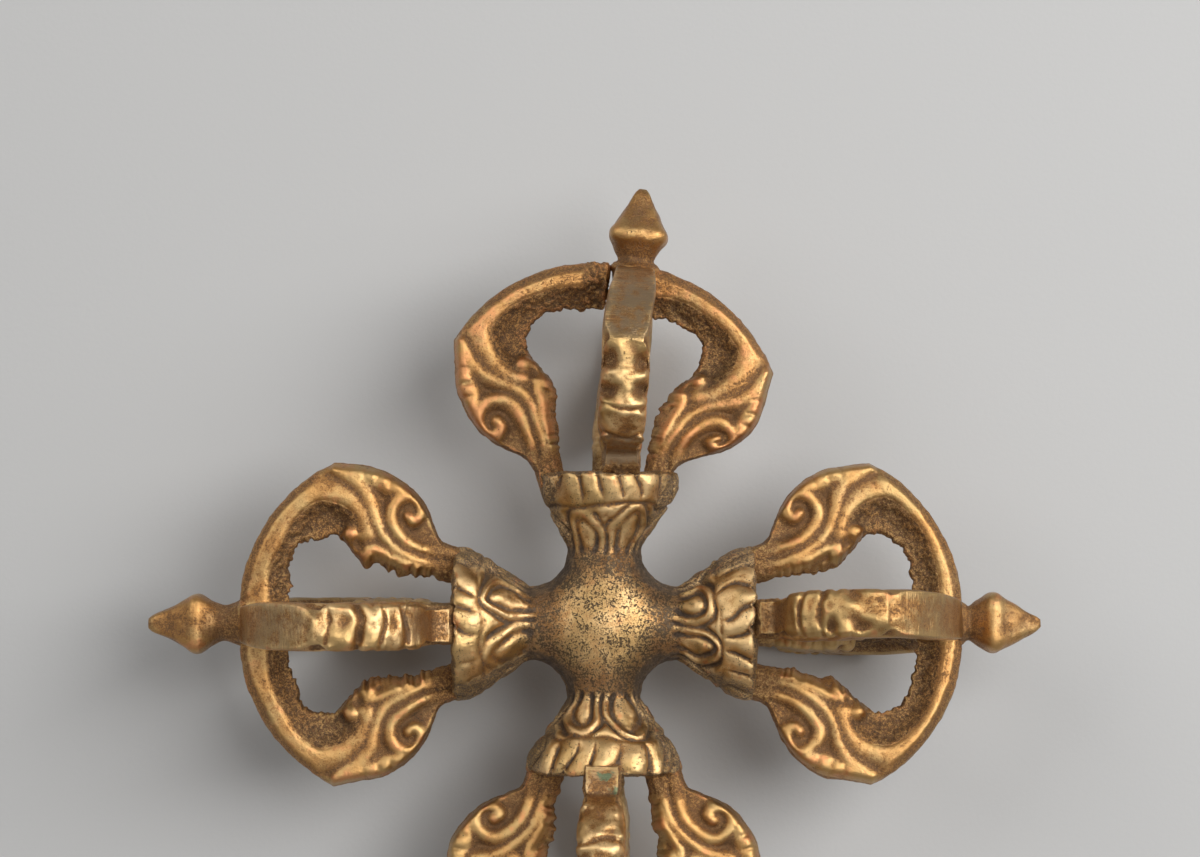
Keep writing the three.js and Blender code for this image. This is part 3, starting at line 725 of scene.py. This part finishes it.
def collar_carving(p, u, angle, sizes):
    """Height of the lotus carving at places u along the arms and at angles from their upper sides."""
    worn_low = (p[:, 0] < -9) * ramp(-p[:, 1], 0.5, 3.5)
    crisp = by_arm(p, "crisp") * (1 - 0.75 * worn_low)
    rim_start = FACE - by_arm(p, "band")
    neck, rim, start = sizes.neck_radius, sizes.rim_radius, sizes.neck_length
    a = (u - start) / (rim_start - start)
    radius = mix(neck, rim, unit((u - start) / (FACE - start)) ** 0.8)

    turn = angle / (2 * math.pi) * sizes.petals
    x = 2 * np.abs(turn - np.floor(turn) - 0.5)
    wide = math.pi * radius / sizes.petals
    toward_tip = np.clip((a - 0.3) / 0.7, 0, 2)
    inside = (1.02 - (x**1.6 + toward_tip**1.6) ** (1 / 1.6)) * wide * 0.9
    border = bell(inside - 0.55, 0.4) * 0.28
    leaf = ramp(inside, 1.15, 2.0) * 0.3
    between_petals = ramp(-inside, 0.1, 0.7) * 0.24
    lines = bell(inside, 0.28) * 0.46 + bell(inside - 1.2, 0.3) * 0.36
    fade = ramp(a, -0.2, 0.2) * (1 - ramp(a, 0.86, 1.02))
    rubbed = 0.35 + 0.65 * ramp(grain(p, 2.3, 12) + 0.5 * grain(p, 1.0, 13), -0.7, 0.2)
    petal = (border + leaf + between_petals - lines - 0.12) * rubbed * fade * sizes.petal_depth

    along = unit((u - rim_start) / (FACE - rim_start))
    lobe_turn = angle / (2 * math.pi) * sizes.lobes + 0.5
    gap_width = 2 * math.pi * radius / sizes.lobes
    from_gap = np.abs(lobe_turn - np.rint(lobe_turn)) * gap_width
    number = np.floor(lobe_turn).astype(np.int64)
    own = chance(np.stack([number, 7 * arm_number(p), np.zeros_like(number)], -1), 21)
    notch = bell(from_gap, 0.16 + 0.2 * along) * (0.25 + 0.75 * along)
    pillow = (1 - unit(2 * from_gap / gap_width)) ** 1.7 * (0.3 + 0.7 * along)
    lobes = -(0.75 * notch + 1.0 * pillow) * sizes.lobe_depth * ramp(along, -0.05, 0.3)
    swell = ramp(from_gap, 0.1, 0.8) * np.sin(math.pi * unit(along)) * (own - 0.4) * 0.3
    band = 0.13 * np.sin(math.pi * unit(0.08 + 0.84 * along)) ** 0.7
    ring = -by_arm(p, "ring") * bell(u - rim_start + 0.05, 0.25)
    height = (petal + lobes + swell) * crisp + band * ramp(a, 0.9, 1.15) + ring
    return height, crisp * np.maximum(notch, 0.5 * pillow) * along


def rough_hub(sizes):
    """The crossed collar pairs and the boss, as rough turned bodies in millimetres about the hub's centre."""
    neck, rim = sizes.neck_radius, sizes.rim_radius
    half = [(neck, FACE * 0.5), (rim, FACE * 0.9), (rim, FACE), (0, FACE)]
    profile = [(r, -h) for r, h in reversed(half)] + half
    bm = bmesh.new()
    for axis in ("X", "Y"):
        part = bmesh.new()
        verts = [part.verts.new((r, 0, h)) for r, h in profile]
        edges = [part.edges.new(pair) for pair in zip(verts, verts[1:])]
        bmesh.ops.spin(part, geom=verts + edges, cent=(0, 0, 0), axis=(0, 0, 1), dvec=(0, 0, 0),
                       angle=2 * math.pi, steps=40, use_merge=True)
        bmesh.ops.remove_doubles(part, verts=part.verts, dist=1e-4)
        bmesh.ops.recalc_face_normals(part, faces=part.faces)
        quarter_turn = Matrix.Rotation(math.pi / 2, 3, axis)
        bmesh.ops.rotate(part, verts=part.verts, cent=(0, 0, 0), matrix=quarter_turn)
        scrap = bpy.data.meshes.new("scrap")
        part.to_mesh(scrap)
        bm.from_mesh(scrap)
        part.free()
        bpy.data.meshes.remove(scrap)
    bmesh.ops.create_uvsphere(bm, u_segments=32, v_segments=16, radius=sizes.boss_half_height)
    return bm


def hub_skin(name, sizes):
    """The crossed collar pairs and the boss, joined into one even skin."""
    bm = rough_hub(sizes)
    mesh = bpy.data.meshes.new(name)
    bm.to_mesh(mesh)
    bm.free()
    shell = bpy.data.objects.new("shell", mesh)
    bpy.context.scene.collection.objects.link(shell)
    modifier = shell.modifiers.new("skin", "REMESH")
    modifier.mode = "VOXEL"
    modifier.voxel_size = sizes.skin
    bpy.context.view_layer.update()
    skin = bpy.data.meshes.new_from_object(shell.evaluated_get(bpy.context.evaluated_depsgraph_get()))
    bpy.data.objects.remove(shell)
    skin.name = name
    return skin


def hub_mesh(name, sizes):
    """The hub casting: its skin drawn to a smooth form, then carved and roughened."""
    skin = hub_skin(name, sizes)
    p = read(skin.vertices, "co", 3)
    step = 0.02
    for _ in range(6):
        value = hub_field(p, sizes)
        slope = [hub_field(p + push, sizes) - hub_field(p - push, sizes) for push in np.eye(3) * step]
        slope = np.stack(slope, 1) / (2 * step)
        p = p - (value / np.maximum((slope**2).sum(1), 0.2))[:, None] * slope
    normal = slope / np.maximum(np.linalg.norm(slope, axis=1, keepdims=True), 1e-6)
    along_x = np.abs(p[:, 0]) > np.abs(p[:, 1])
    u = np.where(along_x, np.abs(p[:, 0]), np.abs(p[:, 1]))
    side = np.where(along_x, p[:, 1], p[:, 0])
    angle = np.arctan2(side, p[:, 2])
    on_side = 1 - ramp(u, FACE - 0.45, FACE - 0.05)
    face_grit = 1 - on_side
    carved, scallop = collar_carving(p, u + 0.75 * grain(p, 3.0, 3), angle + 0.2 * grain(p, 3.4, 4), sizes)
    carved = carved * on_side * ramp(u, sizes.neck_length - 1.5, sizes.neck_length)
    up = p[:, 2] / np.maximum(np.hypot(side, p[:, 2]), 0.1)
    flank = 1 - ramp(np.abs(up), 0.4, 0.78)
    rough = grain(p, 0.75, 7) + 0.6 * grain(p, 0.36, 8)
    on_collar = ramp(u, 8.5, 10.5)
    lift = carved + (0.07 + 0.06 * on_collar) * grain(p, 2.6, 5)
    lift = lift + (0.02 + 0.04 * on_collar) * grain(p, 0.9, 6)
    lift = lift + (0.012 + 0.07 * flank + 0.1 * face_grit) * rough
    p = p + normal * lift[:, None]
    along_arm = np.where(along_x[:, None], [1, 0, 0], [0, 1, 0]) * np.sign(p)
    near_rim = ramp(u, FACE - 1.6, FACE) * ramp(np.hypot(side, p[:, 2]), 6.0, 7.6)
    p = p - along_arm * ((0.5 * scallop + 0.25 * grain(p, 1.6, 9) + 0.1) * near_rim)[:, None]
    p[:, 0] += np.where(along_x, 0, by_arm(p, "skew") * ramp(u, 6, FACE))
    skin.vertices.foreach_set("co", ((p + HUB) * MM).ravel())
    skin.update()

    away = np.hypot(p[:, 0], p[:, 1])
    valley = ramp(away, 3.5, 7.0) * (1 - ramp(u, 7.5, 10))
    on_boss = 1 - ramp(away, 4.5, 10.5)
    grit = face_grit + 1.1 * flank * ramp(away, 5.0, 7.5) + 0.1 * valley
    give(skin, "grit", unit(grit))
    give(skin, "crest", unit(0.95 - 0.5 * valley + 2.2 * carved))
    give(skin, "speck", unit(0.42 * on_boss + 0.45 * valley + 0.26))
    return skin


def finial_mesh(name, arm, sizes, seed):
    """A four-sided point with rounded edges on a short neck, and the brazed seat under it."""
    reach = FACE + arm.cage
    neck_end = reach + arm.neck
    widest = neck_end + sizes.underside
    tip = widest + sizes.point
    neck, wide = sizes.neck_radius, sizes.half_width
    profile = [(reach - 4.9, 2.1), (reach - 3.5, 2.25), (reach - 1.8, 2.25), (reach - 0.7, 2.4),
               (reach - 0.1, 2.75), (reach + 0.45, 2.45), (max(reach + 1.0, neck_end), neck),
               (mix(neck_end, widest, 0.42), mix(neck, wide, 0.3)), (widest - 1.15, wide * 0.8),
               (widest - 0.3, wide * 0.955), (widest + 0.5, wide * 0.95), (widest + 1.4, wide * 0.79),
               (mix(widest, tip, 0.55), wide * 0.52), (tip - 0.75, 0.95), (tip - 0.15, 0.5)]
    around = 96
    row = curve(profile, np.linspace(0, len(profile) - 1, 120))
    angle = np.linspace(0, 2 * math.pi, around, endpoint=False)
    squareness = ramp(row[:, 0], neck_end, widest)[:, None]
    power = 5.0
    square = (np.abs(np.cos(angle)) ** power + np.abs(np.sin(angle)) ** power) ** (-1 / power)
    radius = row[:, 1:] * mix(1, square[None], squareness * 0.75)
    rings = np.dstack([np.repeat(row[:, :1], around, 1), radius * np.cos(angle), radius * np.sin(angle)])
    braze = (1 - ramp(row[:, 0], reach + 0.3, neck_end + 1.8))[:, None] * np.ones((1, around))
    normal = -normals_of(rings)
    lift = 0.2 * grain(rings + 9 * seed, 2.6, seed) + 0.07 * grain(rings, 1.1, seed + 1)
    lift = lift + braze * (0.2 * grain(rings + seed, 1.5, seed + 2) + 0.07 * grain(rings, 0.5, seed + 3))
    rings = rings + normal * lift[..., None]
    on_point = ramp(rings[..., 0], neck_end + 1, widest)
    facts = {"grit": 0.45 * braze, "crest": 0.2 + 0.4 * on_point, "filed": 0.25 * on_point}
    return sleeve(name, fenced(placed(rings, arm, 0, arm.stray)), facts)


def distance(name, description, default_mm):
    """A size property, shown as a length."""
    return FloatProperty(name=name, description=description, default=default_mm * MM, min=0, precision=5,
                         subtype="DISTANCE", unit="LENGTH")


def in_mm(group):
    """The sizes in a property group, with its lengths in millimetres."""
    sizes = {key: getattr(group, key) for key in type(group).__annotations__}
    return SimpleNamespace(**{key: v / MM if isinstance(v, float) else v for key, v in sizes.items()})


def tint(name, description, default):
    return FloatVectorProperty(name=name, description=description, default=default, size=3, subtype="COLOR")


def level(name, description, default, kind="NONE"):
    return FloatProperty(name=name, description=description, default=default, min=0, unit=kind)


def number(name, description, default, low=3):
    return IntProperty(name=name, description=description, default=default, min=low)


class VajraFinish(bpy.types.PropertyGroup):
    pale: tint("Pale gold", "Brass rubbed pale on the boss and collars", (0.77, 0.52, 0.25))
    gold: tint("Gold", "Brass that hands have polished", (0.52, 0.285, 0.10))
    olive: tint("Olive", "Brass that has dulled evenly", (0.50, 0.32, 0.13))
    amber: tint("Amber", "Dull orange brass on slopes", (0.38, 0.19, 0.065))
    tan: tint("Tan", "Dull brown brass on slopes", (0.30, 0.165, 0.07))
    grey: tint("Grey brown", "Thin film on filed faces", (0.31, 0.22, 0.135))
    copper: tint("Copper", "Reddish brass on rubbed crests", (0.58, 0.27, 0.11))
    # Brown and grime also colour the broad hollows that are darkened as painted shade
    brown: tint("Brown", "Patina in the carving", (0.205, 0.10, 0.04))
    grime_and_shade: tint("Grime", "Grey-brown dirt in the collars' grooves", (0.13, 0.09, 0.06))
    verdigris: tint("Verdigris", "Green corrosion in a few spots", (0.12, 0.2, 0.12))
    soot: tint("Soot", "Black dirt in pits and on rough walls", (0.045, 0.03, 0.02))


class VajraHub(bpy.types.PropertyGroup):
    boss_radius: distance("Boss radius", "Radius of the pillow at the middle", 6.2)
    boss_half_height: distance("Boss half height", "Half of the pillow's height", 4.9)
    neck_radius: distance("Neck radius", "Radius of each arm's neck", 4.0)
    neck_length: distance("Neck length", "From the middle to where a collar starts to flare", 8.2)
    rim_radius: distance("Rim radius", "Radius of a collar's rim, without its lobes", 8.5)
    petal_depth: distance("Petal depth", "Depth of the petals' carving", 1.0)
    lobe_depth: distance("Lobe depth", "Depth of the notches between the lobes", 0.5)
    petals: number("Petals", "Long petals round a collar", 6)
    lobes: number("Lobes", "Short lobes round a rim", 18)
    skin: distance("Skin", "Size of the facets that the hub's skin is made of", 0.21)


class VajraProngs(bpy.types.PropertyGroup):
    stem_half: distance("Stem half thickness", "Half of a prong's thickness at its foot", 2.1)
    leaf_half: distance("Leaf half thickness", "Half of a prong's thickness at the leaf", 2.65)
    tip_half: distance("Tip half thickness", "Half of a prong's thickness at its tip", 2.1)
    valley: distance("Valley depth", "Depth of the valleys between the crests", 0.9)
    wall_fall: distance("Wall fall", "How far the inner wall falls away from the ridge", 1.7)
    wall_grit: distance("Wall grit", "Roughness of the inner wall as it was cast", 0.12)
    edge_bulge: distance("Edge bulge", "How far the outer edge swells between its corners", 0.2)
    stations: number("Stations", "Rows of facets along a prong", 290, 40)
    lanes: number("Lanes", "Facets across a prong's face", 40, 8)


class VajraFinials(bpy.types.PropertyGroup):
    neck_radius: distance("Neck radius", "Radius of the neck under the point", 2.05)
    half_width: distance("Half width", "Half of the point's width across its flats", 3.45)
    underside: distance("Underside", "Length of the flare under the widest place", 2.9)
    point: distance("Point", "Length from the widest place to the tip", 5.6)


class VajraStage(bpy.types.PropertyGroup):
    floor: tint("Floor", "Colour of the floor", (0.592, 0.588, 0.579))
    air: level("Air", "Brightness of the air's own light", 0.12)
    walls: level("Walls", "Brightness of the walls, as polished brass shows them", 0.6)
    low_walls: level("Low walls", "Brightness of the walls near the floor", 0.26)
    key: level("Key light", "Power of the large soft lamp", 3.5, "POWER")
    fill: level("Fill light", "Power of the lamp at the other side", 1.0, "POWER")
    height: distance("Camera height", "From the hub's centre up to the camera", 410)
    view: distance("View width", "Width that the picture takes in at the hub's height", 134.4)


class VajraOperator:
    bl_options = {"REGISTER", "UNDO"}


class VAJRA_OT_hub(VajraOperator, bpy.types.Operator):
    """Makes the hub casting with its four lotus collars"""

    bl_idname = "vajra.hub"
    bl_label = "Hub and collars"

    def execute(self, context):
        scene = context.scene
        finish = scene.vajra_finish
        brass = worn_brass("hub brass", finish, finish.pale, finish.grime_and_shade, 0.35, 0.22)
        mesh = hub_mesh("hub", in_mm(scene.vajra_hub))
        finish_piece(mesh, "hub", brass, ["hub_cross"], rounds=(5, 35))
        return {"FINISHED"}


def axis_of(arm):
    """The axis that an arm lies along, which its file marks cross."""
    return "XY"[arm.turn // 90 % 2]


def make_prongs(scene, quarters, brasses):
    sizes = in_mm(scene.vajra_prongs)
    for index, arm in enumerate(ARMS):
        names = {0: arm.sides[0], 90: "front", 180: arm.sides[1], 270: "rear"}
        for quarter in quarters:
            node = f"{arm.name}_prong_{names[quarter]}"
            mesh = prong_mesh(node, arm, quarter, sizes, 4 * index + quarter // 90 + 1)
            finish_piece(mesh, f"carved_{node}", brasses[arm.name], [node])


class VAJRA_OT_side_prongs(VajraOperator, bpy.types.Operator):
    """Makes the eight prongs at the sides of the cages"""

    bl_idname = "vajra.side_prongs"
    bl_label = "Side prongs"

    def execute(self, context):
        scene = context.scene
        finish = scene.vajra_finish
        brasses = {}
        for arm in ARMS:
            name = f"{arm.name} prong brass"
            brasses[arm.name] = worn_brass(name, finish, finish.gold, finish.brown, arm.copper, arm.dirt)
        make_prongs(scene, (0, 180), brasses)
        return {"FINISHED"}


class VAJRA_OT_standing_prongs(VajraOperator, bpy.types.Operator):
    """Makes the four front prongs and the four rear prongs"""

    bl_idname = "vajra.standing_prongs"
    bl_label = "Front and rear prongs"

    def execute(self, context):
        scene = context.scene
        finish = scene.vajra_finish
        brasses = {}
        for arm in ARMS:
            green = VERDIGRIS.get(arm.name, [])
            spots = [(on_arm(arm, place), reach, finish.verdigris) for place, reach in green]
            rubbed = finish.olive if arm.film < 0.2 else finish.pale
            brasses[arm.name] = worn_brass(f"{arm.name} filed brass", finish, rubbed, finish.brown, 0.15, 0.4,
                                           axis_of(arm), arm.film, spots)
        make_prongs(scene, (90, 270), brasses)
        return {"FINISHED"}


class VAJRA_OT_finials(VajraOperator, bpy.types.Operator):
    """Makes the four pointed finials and their brazed seats"""

    bl_idname = "vajra.finials"
    bl_label = "Finials"

    def execute(self, context):
        scene = context.scene
        finish = scene.vajra_finish
        for index, arm in enumerate(ARMS):
            node = f"{arm.name}_finial"
            name = f"{arm.name} finial brass"
            brass = worn_brass(name, finish, finish.gold, finish.brown, 0.3, 0.75, axis_of(arm))
            mesh = finial_mesh(node, arm, in_mm(scene.vajra_finials), index + 60)
            finish_piece(mesh, f"pointed_{node}", brass, [node])
        return {"FINISHED"}


class VAJRA_OT_stage(VajraOperator, bpy.types.Operator):
    """Makes the floor, the lights, the surroundings and the camera"""

    bl_idname = "vajra.stage"
    bl_label = "Stage"

    def execute(self, context):
        scene = context.scene
        stage = scene.vajra_stage
        self.floor(scene, stage)
        self.air(scene, stage)
        hub = Vector(HUB) * MM
        self.lamp(scene, "key", hub, (0.34, 0.13, 0.45), (0.34, 0.62), stage.key)
        self.lamp(scene, "fill", hub, (-0.40, 0.26, 0.40), (0.40, 0.40), stage.fill)
        self.camera(scene, stage, hub)
        scene.view_settings.view_transform = "Standard"
        return {"FINISHED"}

    def floor(self, scene, stage):
        bm = bmesh.new()
        bmesh.ops.create_grid(bm, x_segments=8, y_segments=8, size=3)
        mesh = bpy.data.meshes.new("floor")
        bm.to_mesh(mesh)
        bm.free()
        recipe = Recipe("pale floor")
        tooth = recipe.bump(recipe.noise(0.6, 3), 0.02)
        sockets = {"Base Color": (*stage.floor, 1), "Roughness": 0.9, "Specular IOR Level": 0.2}
        mesh.materials.append(recipe.surface({**sockets, "Normal": tooth}))
        floor = bpy.data.objects.new("floor", mesh)
        scene.collection.objects.link(floor)

    def air(self, scene, stage):
        """A pale room that the camera and polished brass see, with a weaker light of its own."""
        world = bpy.data.worlds.new("surroundings")
        world.use_nodes = True
        recipe = Recipe(owner=world)
        path = recipe.node("ShaderNodeLightPath", out="Is Camera Ray")
        glossy = Value(recipe, path.socket.node.outputs["Is Glossy Ray"])
        ways = recipe.node("ShaderNodeSeparateXYZ", None, {"Vector": recipe.place}, out="Z")
        shine = stage.low_walls + ways.above(-0.1, 0.9) * (stage.walls - stage.low_walls)
        strength = stage.air + path * (stage.walls - stage.air) + glossy * (shine - stage.air)
        sockets = {"Color": (0.98, 0.985, 1, 1), "Strength": strength}
        light = recipe.node("ShaderNodeBackground", None, sockets)
        recipe.node("ShaderNodeOutputWorld", None, {"Surface": light})
        scene.world = world

    def lamp(self, scene, name, aim, offset, size, power):
        light = bpy.data.lights.new(name, "AREA")
        light.shape = "RECTANGLE"
        light.size, light.size_y = size
        light.energy = power
        lamp = bpy.data.objects.new(name, light)
        lamp.location = aim + Vector(offset)
        lamp.rotation_euler = (-Vector(offset)).to_track_quat("-Z", "Y").to_euler()
        scene.collection.objects.link(lamp)

    def camera(self, scene, stage, hub):
        """The camera stands over the hub and tilts a little: the hub lies below the middle of the picture."""
        pixel = stage.view / PICTURE_WIDTH
        over = hub + Vector(((PICTURE_WIDTH / 2 - HUB_PIXEL[0]) * pixel, 0, 0))
        aim = over + Vector((0, (HUB_PIXEL[1] - PICTURE_HEIGHT / 2) * pixel, 0))
        place = over + Vector((0, 0, stage.height))
        data = bpy.data.cameras.new("camera")
        data.sensor_width = SENSOR_WIDTH
        data.lens = SENSOR_WIDTH * (place - aim).length / stage.view
        data.clip_start = 0.01
        camera = bpy.data.objects.new("camera", data)
        camera.location = place
        camera.rotation_euler = (aim - place).to_track_quat("-Z", "Y").to_euler()
        scene.collection.objects.link(camera)
        scene.camera = camera


class VAJRA_PT_panel(bpy.types.Panel):
    """Lists the sizes and the pieces"""

    bl_label = "Double vajra"
    bl_idname = "VAJRA_PT_panel"
    bl_space_type = "VIEW_3D"
    bl_region_type = "UI"
    bl_category = "Double vajra"

    def draw(self, context):
        for name, (group, operators) in GROUPS.items():
            box = self.layout.box()
            settings = getattr(context.scene, name)
            for key in group.__annotations__:
                box.prop(settings, key)
            for operator in operators:
                box.operator(operator.bl_idname)


GROUPS = {
    "vajra_finish": (VajraFinish, []),
    "vajra_hub": (VajraHub, [VAJRA_OT_hub]),
    "vajra_prongs": (VajraProngs, [VAJRA_OT_side_prongs, VAJRA_OT_standing_prongs]),
    "vajra_finials": (VajraFinials, [VAJRA_OT_finials]),
    "vajra_stage": (VajraStage, [VAJRA_OT_stage]),
}
OPERATORS = [operator for _, operators in GROUPS.values() for operator in operators]
CLASSES = [group for group, _ in GROUPS.values()] + OPERATORS + [VAJRA_PT_panel]


def register():
    for cls in CLASSES:
        bpy.utils.register_class(cls)
    for name, (group, _) in GROUPS.items():
        setattr(bpy.types.Scene, name, PointerProperty(type=group))


def unregister():
    for name in GROUPS:
        delattr(bpy.types.Scene, name)
    for cls in reversed(CLASSES):
        bpy.utils.unregister_class(cls)


def main():
    register()
    bpy.ops.vajra.stage()
    bpy.ops.vajra.hub()
    bpy.ops.vajra.side_prongs()
    bpy.ops.vajra.standing_prongs()
    bpy.ops.vajra.finials()


if __name__ == "__main__":
    main()
